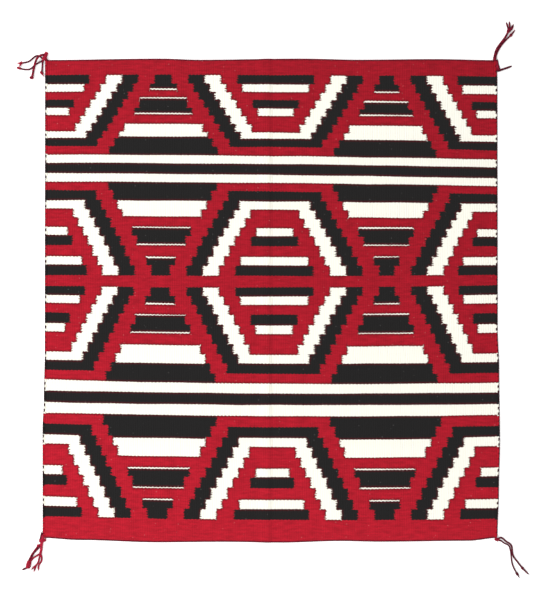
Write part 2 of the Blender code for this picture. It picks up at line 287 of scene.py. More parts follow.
TASSELS = {
    "tassel_top_left": Tassel(
        side=-1,
        end=1,
        knots=(
            Knot("loop", x=-0.4, y=7.6, length=15.0, width=7.0, heading=64, tone=0.05),
            Knot("root", x=0.2, y=1.8, length=7.6, width=6.0, heading=-20, tone=0.3),
            Knot("first_end", x=-27.3, y=-35.6, length=7.0, width=5.6, heading=20, tone=0.5),
            Knot("second_end", x=-49.2, y=-6.6, length=7.2, width=5.2, heading=40, tone=0.2),
            Knot("third_end", x=-53.0, y=-16.6, length=7.6, width=4.4, heading=-16, tone=0.2),
            Knot("fourth_end", x=-7.2, y=-26.0, length=7.0, width=5.6, heading=-50, tone=0.4),
        ),
        strands=(
            Strand(
                "first", 3.4, 0.6,
                (To(-2.0, 10.0, 180), To(-16.8, 1.6, 244), To(-21.6, -11.0, 252), To(-26.6, -34.0, 258)),
                lift=3.6,
                lift_until=36.0,
            ),
            Strand("first_stub", 2.6, 0.5, (To(-27.0, -35.8, 160), To(-31.6, -34.6, 160))),
            Strand(
                "second", 2.2, 0.95,
                (To(-3.6, 0.6, 145), To(-15.6, 8.8, 180), To(-31.0, -1.4, 214), To(-48.0, -6.2, 190)),
            ),
            Strand("second_upper_stub", 2.8, 0.2, (To(-48.6, -6.2, 176), To(-54.6, -6.8, 190))),
            Strand("second_lower_stub", 2.8, 0.2, (To(-48.6, -7.0, 240), To(-51.6, -11.4, 236))),
            Strand(
                "third", 2.2, 0.95,
                (To(-3.2, 1.0, 222), To(-20.2, -9.6, 216), To(-34.5, -19.2, 184), To(-57.4, -15.4, 164)),
            ),
            Strand("fourth", 2.6, 0.8, (To(-2.6, 2.2, 236), To(-6.2, -12.0, 268), To(-7.2, -25.0, 264))),
            Strand("fourth_stub", 2.0, 0.3, (To(-7.2, -26.0, 290), To(-4.6, -31.2, 300))),
        ),
    ),
    "tassel_top_right": Tassel(
        side=1,
        end=1,
        knots=(
            Knot("root", x=-3.4, y=3.4, length=8.0, width=6.4, heading=80, tone=0.65),
            Knot("fork", x=24.4, y=59.4, length=7.6, width=5.6, heading=66, tone=0.6),
            Knot("right_end", x=29.4, y=50.6, length=6.4, width=5.2, heading=46, tone=0.65),
        ),
        strands=(
            Strand(
                "left_cord", 3.2, 0.75,
                (To(-4.2, 5.0, 82), To(1.2, 23.2, 62), To(15.0, 42.0, 54), To(23.8, 57.6, 66)),
            ),
            Strand("first_tip", 2.6, 0.75, (To(23.6, 57.4, 88), To(23.4, 65.4, 106), To(20.2, 74.8, 112))),
            Strand("second_tip", 2.6, 0.75, (To(24.2, 57.4, 72), To(27.2, 66.4, 88), To(26.0, 76.0, 98))),
            Strand("third_tip", 3.6, 0.75, (To(24.6, 57.2, 50), To(30.4, 63.2, 54), To(33.4, 70.4, 68))),
            Strand(
                "right_cord", 2.4, 0.85,
                (
                    To(-1.8, 4.6, 78), To(5.0, 22.2, 60), To(18.0, 39.6, 48),
                    To(27.6, 48.8, 44), To(36.2, 59.0, 52),
                ),
            ),
        ),
    ),
    "loose_cord_right": Tassel(
        side=1,
        end=1,
        knots=(),
        strands=(
            Strand("bow", 1.6, 1.15, (To(1.4, 1.2, -52), To(3.4, -6.6, -76), To(7.6, -19.2, -66))),
            Strand("inner_bow", 2.4, 0.45, (To(-0.2, 0.4, -60), To(1.8, -7.6, -82), To(4.4, -19.8, -80))),
            Strand("edge_bow", 2.4, 0.35, (To(-0.8, -2.0, -80), To(0.0, -9.0, -86), To(1.4, -21.0, -84))),
            Strand("stub", 3.0, 1.2, (To(2.4, -21.8, 14), To(16.0, -17.4, 18), To(29.6, -12.4, 22))),
        ),
        material_slot="edge_cord_wool",
    ),
    "tassel_bottom_left": Tassel(
        side=-1,
        end=-1,
        knots=(
            Knot("root", x=-0.6, y=-4.7, length=12.0, width=6.4, heading=8, tone=0.05),
            Knot("side", x=-9.8, y=-15.4, length=5.4, width=4.4, heading=60, tone=0.1),
            Knot("left_end", x=-28.7, y=-53.4, length=13.0, width=8.6, heading=76, tone=0.1),
            Knot("right_fork", x=-5.2, y=-31.8, length=6.4, width=5.0, heading=76, tone=0.15),
        ),
        strands=(
            Strand("corner", 4.6, 0.05, (To(0.8, 5.0, 262), To(-2.8, -14.0, 258))),
            Strand("edge_wrap", 2.8, 0.85, (To(-1.9, 10.4, 250), To(-5.4, -4.2, 254))),
            Strand("neck", 5.0, 0.05, (To(-1.0, -4.8, 258), To(-3.6, -15.4, 256))),
            Strand(
                "left_cord", 2.2, 0.55,
                (To(-5.2, -13.6, 206), To(-16.0, -24.6, 230), To(-29.2, -48.0, 248)),
            ),
            Strand(
                "inner_cord", 2.0, 0.9,
                (To(-5.0, -15.8, 236), To(-15.1, -27.4, 228), To(-20.4, -34.4, 242), To(-25.6, -48.0, 252)),
            ),
            Strand("left_tip", 2.8, 1.0, (To(-25.2, -57.4, 204), To(-41.0, -64.2, 202))),
            Strand("right_cord", 4.0, 0.15, (To(-2.6, -13.6, 270), To(-5.0, -31.6, 256))),
            Strand(
                "cross_branch", 2.6, 0.35,
                (To(-5.4, -31.8, 206), To(-16.0, -38.4, 210), To(-27.2, -50.2, 232)),
            ),
            Strand(
                "middle_branch", 2.6, 0.35,
                (To(-5.4, -32.2, 260), To(-8.6, -46.4, 258), To(-13.8, -55.4, 228), To(-21.4, -62.6, 236)),
            ),
            Strand("middle_tip", 2.4, 0.45, (To(-13.2, -54.8, 244), To(-17.6, -66.6, 250))),
            Strand(
                "right_branch", 2.6, 0.35,
                (To(-5.0, -32.0, 294), To(-2.4, -44.8, 266), To(-8.0, -54.6, 248), To(-9.2, -64.2, 270)),
            ),
        ),
    ),
    "tassel_bottom_right": Tassel(
        side=1,
        end=-1,
        knots=(
            Knot("root", x=-0.9, y=-2.6, length=8.6, width=6.6, heading=-24, tone=0.4),
            Knot("outer_end", x=51.2, y=-61.0, length=5.8, width=5.2, heading=-50, tone=0.8),
            Knot("inner_end", x=40.2, y=-72.6, length=6.8, width=5.0, heading=-62, tone=0.9),
        ),
        strands=(
            Strand(
                "outer", 2.4, 0.95,
                (
                    To(1.6, -3.0, 48), To(8.0, 0.8, 344), To(18.0, -7.0, 324), To(29.0, -16.0, 290),
                    To(30.8, -30.6, 278), To(42.8, -50.6, 306), To(62.6, -72.7, 315),
                ),
            ),
            Strand(
                "inner", 2.0, 1.05,
                (
                    To(2.0, -4.4, 350), To(9.8, -7.0, 320), To(15.6, -11.2, 336), To(22.0, -14.0, 326),
                    To(26.6, -24.0, 284), To(29.0, -44.0, 276), To(43.7, -78.2, 302),
                ),
            ),
        ),
    ),
}
STRAND_POINT_SPACING = 3.0
STRAND_PULL = 0.36  # length of a section's two handles, as a share of the section
LIFT_RAMP = 9.0
STRAND_LEVEL_STEP = 0.04  # each strand of a tassel lies this much higher than the one before
PLUMPNESS = 1.2  # wool fluffs out past the size that a cord is spun to
FLUFF = 0.5  # and this much more all round


def linear(code):
    """The linear colour of an sRGB hex code."""
    channels = [int(code[place : place + 2], 16) / 255 for place in (1, 3, 5)]
    return tuple(c / 12.92 if c <= 0.04045 else ((c + 0.055) / 1.055) ** 2.4 for c in channels)


# Settings that a user would change


def size_setting(name, description, default):
    """A length in metres that a user can change."""
    return bpy.props.FloatProperty(name=name, description=description, default=default, unit="LENGTH")


def color_setting(name, description, code):
    """A wool's colour that a user can change, from its sRGB hex code."""
    return bpy.props.FloatVectorProperty(
        name=name, description=description, subtype="COLOR", default=linear(code)
    )


class RugWeaveSettings(bpy.types.PropertyGroup):
    """Sizes of the weave."""

    warp_pitch: size_setting("Warp pitch", "Distance between two warps", 0.0036)
    bead_height: size_setting("Weft bead", "Height of one weft bead on a warp", 0.0025)
    rib_depth: size_setting("Rib depth", "Depth of the groove between two warps", 0.00024)
    tooth_height: size_setting("Join tooth height", "Height of a pair of teeth where two yarns turn", 0.005)
    tooth_reach: size_setting("Join tooth reach", "How far a tooth reaches past its join", 0.0026)
    crenel: size_setting("Weft line unevenness", "Rise and fall of a weft line from warp to warp", 0.00045)
    seed: bpy.props.IntProperty(name="Seed", description="Start of the random unevenness", default=7)


class RugYarnSettings(bpy.types.PropertyGroup):
    """Colours of the dyed wool."""

    # Bright red and deep red are the two ends of the cloth's red: bright at the bottom left, deep at the top
    # right.
    bright_red: color_setting("Bright red", "Red wool where its dye took best", "#b21729")
    deep_red: color_setting("Deep red", "Red wool of the darker lot", "#930f1f")
    black: color_setting("Black", "Black wool", "#1c1b1b")
    white: color_setting("White", "Undyed white wool", "#efede1")
    cord_red: color_setting("Cord red", "Maroon wool of the cords", "#b4203a")
    cord_dark: color_setting("Cord dark", "Darkest wool of the cords", "#4a0c1e")


class RugCordSettings(bpy.types.PropertyGroup):
    """Sizes of the cords."""

    side_twist: size_setting("Side cord twist", "Length of one turn of a side cord", 0.0105)
    end_twist: size_setting("End cord twist", "Length of one turn of an end cord", 0.009)
    turn_pitch: size_setting("Weft turn pitch", "Distance between weft turns round a side cord", 0.0017)
    twist_share: bpy.props.FloatProperty(
        name="Tassel cord twist", description="Length of a loose cord's turn over its thickness", default=3.2
    )


# Small tools


def add_node(tree, kind, *inputs, give=0, **settings):
    """A node with its settings, and its inputs' values or the sockets that feed them.

    The inputs come in their order, or in one table by name or number. It gives back one of the
    node's outputs, or the node itself where give is None.
    """
    node = tree.nodes.new(kind)
    for name, value in settings.items():
        setattr(node, name, value)
    table = inputs[0] if inputs and isinstance(inputs[0], dict) else dict(enumerate(inputs))
    for key, value in table.items():
        if isinstance(value, bpy.types.NodeSocket):
            tree.links.new(value, node.inputs[key])
        else:
            node.inputs[key].default_value = value
    return node if give is None else node.outputs[give]


def new_node_tree(name, sockets):
    """A Geometry Nodes tree with named inputs, and its input node."""
    tree = bpy.data.node_groups.new(name, "GeometryNodeTree")
    tree.is_modifier = True
    tree.interface.new_socket("Geometry", in_out="INPUT", socket_type="NodeSocketGeometry")
    tree.interface.new_socket("Geometry", in_out="OUTPUT", socket_type="NodeSocketGeometry")
    for label, kind in sockets.items():
        tree.interface.new_socket(label, in_out="INPUT", socket_type=f"NodeSocket{kind}")
    return tree, tree.nodes.new("NodeGroupInput").outputs


def end_tree(tree, geometry, material):
    """Ends a tree in real, smooth faces of one material."""
    smooth = add_node(tree, "GeometryNodeSetShadeSmooth", {"Geometry": geometry})
    real = add_node(tree, "GeometryNodeRealizeInstances", {"Geometry": smooth})
    painted = add_node(tree, "GeometryNodeSetMaterial", {"Geometry": real, "Material": material})
    add_node(tree, "NodeGroupOutput", {"Geometry": painted}, give=None)


def run_tree(name, source, tree, values):
    """A plain mesh object made by a tree from a source object, which is removed."""
    modifier = source.modifiers.new(tree.name, "NODES")
    modifier.node_group = tree
    for socket in tree.interface.items_tree:
        if socket.in_out == "INPUT" and socket.name in values:
            modifier[socket.identifier] = values[socket.name]
    bpy.context.view_layer.update()
    mesh = bpy.data.meshes.new_from_object(source.evaluated_get(bpy.context.evaluated_depsgraph_get()))
    bpy.data.objects.remove(source, do_unlink=True)
    mesh.name = name
    return show(bpy.data.objects.new(name, mesh))


def show(thing):
    bpy.context.scene.collection.objects.link(thing)
    return thing


def join_objects(name, pieces):
    """One mesh object from several, with all their materials."""
    with bpy.context.temp_override(active_object=pieces[0], selected_editable_objects=pieces):
        bpy.ops.object.join()
    pieces[0].name = pieces[0].data.name = name
    return pieces[0]


class Route(NamedTuple):
    """A cord's middle line, with its radius at every point and its tone, in millimetres."""

    points: list
    radii: list
    twist: float
    tone: float = 0.5


def route_object(routes):
    """A mesh of loose edges along the routes, whose points carry their cord's radius, twist and tone."""
    mesh = bpy.data.meshes.new("routes")
    points = [Vector(point) * MM for route in routes for point in route.points]
    edges = []
    start = 0
    for route in routes:
        edges.extend((start + step, start + step + 1) for step in range(len(route.points) - 1))
        start += len(route.points)
    mesh.from_pydata(points, edges, [])
    stored = {
        "thick": [radius * MM for route in routes for radius in route.radii],
        "twist": [route.twist * MM for route in routes for _ in route.points],
        "tone": [route.tone for route in routes for _ in route.points],
    }
    for name, values in stored.items():
        mesh.attributes.new(name, "FLOAT", "POINT").data.foreach_set("value", values)
    return show(bpy.data.objects.new("routes", mesh))


# Materials

NOISE_SCALES = {  # turns of each noise for a warp and for a bead
    "teeth": (0.16, 0.45, 0.0),
    "streaks": (0.15, 0.7, 0.0),
    "lint": (0.16, 0.2, 0.0),
}


def new_material(name, **looks):
    """A matt material with the looks given, its node tree and its shader."""
    material = bpy.data.materials.new(name)
    material.use_nodes = True
    shader = material.node_tree.nodes["Principled BSDF"]
    looks = {"metallic": 0.0, "ior": 1.54, "specular_ior_level": 0.1, "sheen_roughness": 0.6, **looks}
    for look, value in looks.items():
        title = look.replace("_", " ").title().replace("Ior", "IOR")
        shader.inputs[title].default_value = value
    return material, material.node_tree, shader


def woven_wool(name):
    """Handspun wool in a weft-faced tapestry weave: matt, ribbed along the warp, streaked along the weft."""
    yarns = bpy.context.scene.rug_yarns
    weave = bpy.context.scene.rug_weave
    material, tree, shader = new_material(name, roughness=0.95, sheen_weight=0.03)
    add = partial(add_node, tree)

    # The stored weave gives the warp's number and the weft bead's number at every point.
    count = add("ShaderNodeAttribute", give="Vector", attribute_name="weave")
    warp, bead, _ = add("ShaderNodeSeparateXYZ", count, give=None).outputs
    scaled = {
        use: add("ShaderNodeVectorMath", count, scale, operation="MULTIPLY")
        for use, scale in NOISE_SCALES.items()
    }

    # Teeth: two yarns turn round one warp by turns, unevenly, so their join zigzags.
    turns = {"Vector": scaled["teeth"], "Scale": 1.0, "Detail": 1.0}
    wander = add("ShaderNodeTexNoise", turns, give=None, noise_dimensions="2D").outputs
    swing = math.tau * weave.bead_height / weave.tooth_height
    swing = add("ShaderNodeMath", bead, swing, operation="MULTIPLY")
    swing = add("ShaderNodeMath", wander["Fac"], 7.0, swing, operation="MULTIPLY_ADD")
    wave = add("ShaderNodeMath", swing, operation="SINE")
    bold = add("ShaderNodeSeparateColor", wander["Color"], give=1)
    bold = {"Value": bold, "From Min": 0.35, "From Max": 0.65, "To Min": 0.7}
    length = add("ShaderNodeMapRange", bold | {"To Max": weave.tooth_reach / MM})
    tooth = add("ShaderNodeMath", wave, length, operation="MULTIPLY")

    reach = add("ShaderNodeAttribute", give="Vector", attribute_name="yarn_reach")
    reach = add("ShaderNodeSeparateXYZ", reach, give=None).outputs
    masks = {}
    for yarn, side, edge in (("not_red", "Y", 0.0), ("undyed", "X", WHITE_LOSS)):
        shifted = add("ShaderNodeMath", reach[side], tooth, operation="ADD")
        soft = {"Value": shifted, "From Min": edge - 0.3, "From Max": edge + 0.3}
        masks[yarn] = add("ShaderNodeMapRange", soft, interpolation_type="SMOOTHSTEP")

    # Painted seam shade: the dark yarn beside the white is darkened towards maroon for a bead or so, as
    # painted shade in the groove at the join.
    nearest = add("ShaderNodeMath", WHITE_LOSS, shifted, operation="SUBTRACT")
    beyond = add("ShaderNodeAttribute", give="Vector", attribute_name="white_beyond")
    for axis in add("ShaderNodeSeparateXYZ", beyond, give=None).outputs[:2]:
        nearest = add("ShaderNodeMath", nearest, axis, operation="MINIMUM")
    fade = {"Value": nearest, "From Min": 1.2, "From Max": PAINTED_SEAM_WIDTH, "To Min": 0.75, "To Max": 0.0}
    painted_seam_shade = add("ShaderNodeMapRange", fade, interpolation_type="SMOOTHSTEP")

    # Streaks: a handspun weft is thicker and darker in places, for 15 to 40 mm along the row.
    rough = {"Vector": scaled["streaks"], "Scale": 1.0, "Detail": 3.0, "Roughness": 0.6}
    streak = add("ShaderNodeTexNoise", rough, give="Fac", noise_dimensions="2D")

    # The red runs from deep at the top right to bright at the bottom left.
    place = add("ShaderNodeTexCoord", give="Object")
    place_x, place_y, _ = add("ShaderNodeSeparateXYZ", place, give=None).outputs
    down = add("ShaderNodeMath", 0.5, place_y, operation="SUBTRACT")
    down = add("ShaderNodeMath", down, 2.0, operation="POWER")
    cloud = add("ShaderNodeTexNoise", {"Vector": place, "Scale": 5.0, "Detail": 2.0}, give="Fac")
    red_gradient = -0.2
    for part, share in ((down, 0.6), (place_x, -0.4), (cloud, 0.3)):
        red_gradient = add("ShaderNodeMath", part, share, red_gradient, operation="MULTIPLY_ADD")
    red_blend = add("ShaderNodeMapRange", {"Value": red_gradient, "From Min": -0.3, "From Max": 0.5, "To Max": 0.78})
    red_ends = {0: red_blend, 6: (*yarns.deep_red, 1), 7: (*yarns.bright_red, 1)}
    red = add("ShaderNodeMix", red_ends, give=2, data_type="RGBA")
    depth = {"Value": streak, "From Min": 0.3, "From Max": 0.7, "To Min": 0.79, "To Max": 1.16}
    depth = add("ShaderNodeMapRange", depth)
    red = add("ShaderNodeVectorMath", {0: red, "Scale": depth}, operation="SCALE")

    # Lint: pale fibres caught in the nap, 1 to 2 mm long, coarser than real so that they show.
    spots = {"Vector": scaled["lint"], "Scale": 1.0}
    cells = add("ShaderNodeTexVoronoi", spots, give=None, voronoi_dimensions="2D").outputs
    chosen = add("ShaderNodeSeparateColor", cells["Color"])
    size = {"Value": chosen, "From Min": 0.6, "From Max": 1.0, "To Min": 0.0, "To Max": 0.05}
    size = add("ShaderNodeMapRange", size)
    lint = add("ShaderNodeMath", cells["Distance"], size, operation="LESS_THAN")
    lint = add("ShaderNodeMath", lint, 0.3, operation="MULTIPLY")

    # Wool, the painted seam shade and lint each have a colour on the red and one on the black. The undyed
    # wool covers them.
    pairs = (
        (red, (*yarns.black, 1)),
        # The painted seam shade's two colours: maroon on the red, darker maroon on the black.
        ((*linear("#600a16"), 1), (*linear("#4a0710"), 1)),
        ((*linear("#e0a8a4"), 1), (*linear("#8c8a88"), 1)),
    )
    color, painted_seam_color, lint_shade = (
        add("ShaderNodeMix", {0: masks["not_red"], 6: on_red, 7: on_black}, give=2, data_type="RGBA")
        for on_red, on_black in pairs
    )
    for share, cover in ((painted_seam_shade, painted_seam_color), (lint, lint_shade), (masks["undyed"], (*yarns.white, 1))):
        color = add("ShaderNodeMix", {0: share, 6: color, 7: cover}, give=2, data_type="RGBA")

    # Beads: the weft swells over each warp and dips into the groove beside it. It covers alternate
    # warps, so neighbouring ribs are half a bead out of step.
    number = add("ShaderNodeMath", warp, operation="FLOOR")
    parity = add("ShaderNodeMath", number, 2.0, operation="MODULO")
    phase = add("ShaderNodeMath", parity, 0.5, bead, operation="MULTIPLY_ADD")
    swells = []
    for turn in (phase, warp):
        angle = add("ShaderNodeMath", turn, math.pi, operation="MULTIPLY")
        wave = add("ShaderNodeMath", angle, operation="SINE")
        swells.append(add("ShaderNodeMath", wave, operation="ABSOLUTE"))
    swell = add("ShaderNodeMath", swells[0], swells[1], operation="MULTIPLY")
    swell = add("ShaderNodeMath", swell, 0.5, operation="POWER")
    relief = add("ShaderNodeMath", streak, 0.5, swell, operation="MULTIPLY_ADD")
    bump = add("ShaderNodeBump", {"Strength": 0.8, "Distance": 0.0007, "Height": relief})
    # Painted shade: the colour darkens to 0.85 where the swell falls into the grooves beside each warp and
    # bead.
    groove_shade_span = {"Value": swell, "From Min": 0.0, "From Max": 0.7, "To Min": 0.85, "To Max": 1.0}
    painted_groove_shade = add("ShaderNodeMapRange", groove_shade_span, interpolation_type="SMOOTHSTEP")
    color = add("ShaderNodeVectorMath", {0: color, "Scale": painted_groove_shade}, operation="SCALE")
    tree.links.new(color, shader.inputs["Base Color"])
    tree.links.new(bump, shader.inputs["Normal"])
    return material


def plied_wool(name, light, dark):
    """Handspun wool plied into cord: matt and hairy, each ply mottled where the dye took unevenly."""
    material, tree, shader = new_material(name, roughness=0.9, sheen_weight=0.01)
    add = partial(add_node, tree)
    place = add("ShaderNodeTexCoord", give="Object")
    tone = add("ShaderNodeAttribute", give="Fac", attribute_name="tone")
    ply = add("ShaderNodeAttribute", give="Fac", attribute_name="ply")
    mottle = add("ShaderNodeTexNoise", {"Vector": place, "Scale": 260.0, "Detail": 3.0}, give="Fac")
    spread = add("ShaderNodeMath", ply, 0.2, tone, operation="MULTIPLY_ADD")
    spread = add("ShaderNodeMath", mottle, spread, operation="ADD")
    share = add("ShaderNodeMapRange", {"Value": spread, "From Min": 0.45, "From Max": 1.6})
    color = add("ShaderNodeMix", {0: share, 6: (*light, 1), 7: (*dark, 1)}, give=2, data_type="RGBA")
    fibres = add("ShaderNodeTexNoise", {"Vector": place, "Scale": 1400.0, "Detail": 2.0}, give="Fac")
    bump = add("ShaderNodeBump", {"Strength": 0.6, "Distance": 0.0003, "Height": fibres})
    tree.links.new(color, shader.inputs["Base Color"])
    tree.links.new(bump, shader.inputs["Normal"])
    return material


# The cloth


def edge_at(stations, along):
    """How far out an edge lies at each place along it, eased from station to station."""
    places = np.array([station.along for station in stations])
    edges = np.array([station.edge for station in stations])
    after = np.clip(np.searchsorted(places, along), 1, len(places) - 1)
    share = np.clip((along - places[after - 1]) / (places[after] - places[after - 1]), 0, 1)
    return edges[after - 1] + (edges[after] - edges[after - 1]) * share**2 * (3 - 2 * share)


def outline_point(across, up, inset):
    """The points at -1..1 across and -1..1 up the rug, in an outline moved in from the edges by inset."""
    rough_x = LEFT_EDGE[-1].edge + (RIGHT_EDGE[-1].edge - LEFT_EDGE[-1].edge) * (across + 1) / 2
    low = edge_at(BOTTOM_EDGE, rough_x) + inset
    high = edge_at(TOP_EDGE, rough_x) - inset
    y = low + (high - low) * (up + 1) / 2
    left = edge_at(LEFT_EDGE, y) + inset
    right = edge_at(RIGHT_EDGE, y) - inset
    return left + (right - left) * (across + 1) / 2, y


def crease_height(x):
    """How far the cloth's underside stands off the floor at x."""
    reach = np.where(x < CREASE_X, CREASE_LEFT_REACH, CREASE_RIGHT_REACH)
    away = np.minimum(np.abs(x - CREASE_X) / reach, 1.0)
    return CREASE_HEIGHT * (1 + np.cos(np.pi * away)) / 2


def resting_height(x, y):
    """How far the cloth floats off the floor between the places where it touches, 0 to about 0.6 mm."""
    ripple = np.sin(x / 61.0 + y / 170.0) + np.sin(y / 83.0 - x / 210.0 + 1.3) + np.sin((x + y) / 140.0 + 2.1)
    return 0.1 * (ripple + 3.0)


def line_yarns(row):
    """The yarns of a row's field, with those of its thin line."""
    return TERRACE_ROWS[row].field + ("W" if TERRACE_ROWS[row].line_towards >= 0 else "")


class Strip(NamedTuple):
    """Weft laid in one go across the rug: its place in its band, and its yarns from a heart outwards."""

    band: int
    upper: float
    lower: float
    row: int
    yarns: tuple


def weave_strips():
    """The strips of all bands from the top edge down, with the thin white lines as strips of their own."""
    strips = []
    for number, band in enumerate(BANDS):
        total = sum(band.heights)
        done = 0.0
        for place, height in enumerate(band.heights):
            row = band.top_row + band.count * place
            yarns = (band.yarn,) * 6 if band.yarn else TERRACE_ROWS[row][:6]
            parts = [(height, yarns)]
            if not band.yarn and TERRACE_ROWS[row].line_towards >= 0:
                line = (WHITE_LINE, (*yarns[:5], "W"))
                rest = (height - WHITE_LINE, yarns)
                line_on_top = (TERRACE_ROWS[row].line_towards < row) == (band.count > 0)
                parts = [line, rest] if line_on_top else [rest, line]
            for part_height, part_yarns in parts:
                upper = done / total
                done += part_height
                strips.append(Strip(number, upper, done / total, row, part_yarns))
    return strips


def band_line(number, x, inset):
    """The height of the line above a band at each x."""
    if number == 0:
        return edge_at(TOP_EDGE, x) - inset
    lower = BANDS[number - 1].lower
    if lower is None:
        return edge_at(BOTTOM_EDGE, x) + inset
    return np.polyval(np.polyfit(LEVEL_STATIONS, lower, 2), x)


def weft_line(strip, share_name, across, inset):
    """The points of a strip's upper or lower line, for places -1..1 across the rug."""
    share = getattr(strip, share_name)
    x = LEFT_EDGE[-1].edge + (RIGHT_EDGE[-1].edge - LEFT_EDGE[-1].edge) * (across + 1) / 2
    for _ in range(2):
        upper = band_line(strip.band, x, inset)
        lower = band_line(strip.band + 1, x, inset)
        y = upper + (lower - upper) * share
        left = edge_at(LEFT_EDGE, y) + inset
        right = edge_at(RIGHT_EDGE, y) - inset
        x = left + (right - left) * (across + 1) / 2
    return x, y


def past_flank(strip, x):
    """How far each x lies past its hexagon's stepped side, in the strip's row."""
    band = BANDS[strip.band]
    flanks = band.flanks or (EVEN_FLANK,) * 4
    centres = np.array(HEXAGON_CENTRES)
    nearest = np.argmin(np.abs(x[:, None] - centres[None, :]), axis=1)
    out = np.abs(x - centres[nearest])
    flank = np.clip(2 * nearest - (x < centres[nearest]), 0, 3)
    start = np.array([f.start for f in flanks])[flank]
    step = np.array([(f.end - f.start) / (len(TERRACE_ROWS) - 1) for f in flanks])[flank]
    heart = np.array([f.heart for f in flanks])[flank]
    past = out - start - step * strip.row
    return np.where(past < FIRST_BELT + BELT_WIDTH / 2, past - heart, past)


def reach_inside(strip, past, members):
    """How far each place lies inside the strip's stretches of the member yarns, negative outside them."""
    inside = np.array([yarn in members for yarn in strip.yarns])
    away = np.full(len(past), FAR)
    for join in JOINS[inside[:-1] != inside[1:]]:
        away = np.minimum(away, np.abs(past - join))
    return np.where(inside[np.searchsorted(JOINS, past)], away, -away)


def reach_of_all(strips, lines, members):
    """The reach inside the member yarns along each strip's own line of x."""
    return np.array([reach_inside(strip, past_flank(strip, x), members) for strip, x in zip(strips, lines)])


COLUMNS_PER_WARP = 3
WHITE_LOSS = 1.0  # how far the darker yarn presses in over the white
PAINTED_SEAM_WIDTH = 5.2  # how far the painted maroon shade reaches into the dark yarn beside the white
BEAD_SPREAD = (0.3, 1.5)  # least and most of the unevenness from warp to warp
RIB_SPREAD = 0.12
WAVES = 14
WAVE_HEIGHT = 0.6
RIM_REACH = 3.4  # how far in from its rim the cloth thins
RIM_LOSS = 0.9
MAP_MARGIN = 0.02  # shares of the flat map: its border, where its rim begins, and the rim's reach
MAP_RIM_START = 0.47
MAP_RIM = 0.012


def cloth_corners(row_count, columns):
    """The line, column, side and strip of every face's corners: both faces of the cloth, then its rim."""
    row, column = (part.reshape(-1, 1) for part in np.indices((row_count, columns)))
    rim_row = np.arange(row_count)[:, None]
    rim_column = np.arange(columns)[:, None]
    near = np.array([0, 1, 1, 0])
    over = np.array([0, 0, 1, 1])
    under = over[::-1]
    face_sets = (
        (row + near, column + over, 0, row),
        (row + near, column + under, 1, row),
        (rim_row + 1 - near, 0, over, rim_row),
        (rim_row + 1 - near, columns, under, rim_row),
        (0, rim_column + near, over, 0),
        (row_count, rim_column + near, under, row_count - 1),
    )
    corners = zip(*(np.broadcast_arrays(*face_set) for face_set in face_sets))
    return [np.concatenate(part) for part in corners]


def store_pair(mesh, name, domain, first, second):
    """Stores two numbers for every point or corner, in a vector with nothing third."""
    vectors = np.stack([first, second, np.zeros_like(first)], axis=-1)
    mesh.attributes.new(name, "FLOAT_VECTOR", domain).data.foreach_set("vector", vectors.ravel())


